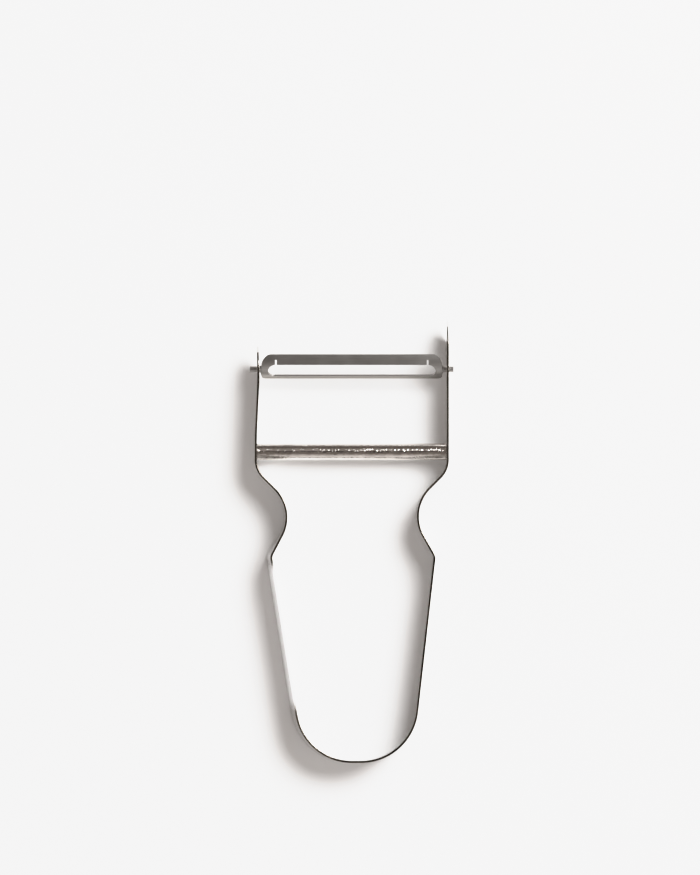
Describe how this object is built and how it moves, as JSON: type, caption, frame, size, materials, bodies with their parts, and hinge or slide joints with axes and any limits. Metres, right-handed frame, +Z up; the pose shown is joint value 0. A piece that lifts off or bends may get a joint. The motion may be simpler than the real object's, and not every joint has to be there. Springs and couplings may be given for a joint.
{
  "type": "vegetable peeler",
  "caption": "Strip-metal swivel peeler: a looped handle whose arms carry a riveted crossbar, a slotted arched blade that swings on its own pins, and an eye remover at the tip.",
  "frame": {"origin": "under the middle of the whole peeler, on the surface that it lies on", "axes": "+X across the arms towards the longer arm, +Y from the foot of the handle to the blade, +Z up, across the width of the strip"},
  "size_m": [0.0516, 0.1124, 0.013],
  "materials": {
    "strip": "bright polished steel strip",
    "bar": "bright plated rod, finely mottled",
    "blade": "hardened steel, finely ground, satin"
  },
  "bodies": {
    "frame": {"frame_strip": "strip", "crossbar": "bar"},
    "blade": {"blade": "blade"}
  },
  "joints": [
    {"name": "blade_swivel", "type": "hinge", "parent": "frame", "child": "blade", "pos_m": [0, 0.0435, 0.0087], "axis": [1, 0, 0], "continuous": true}
  ]
}
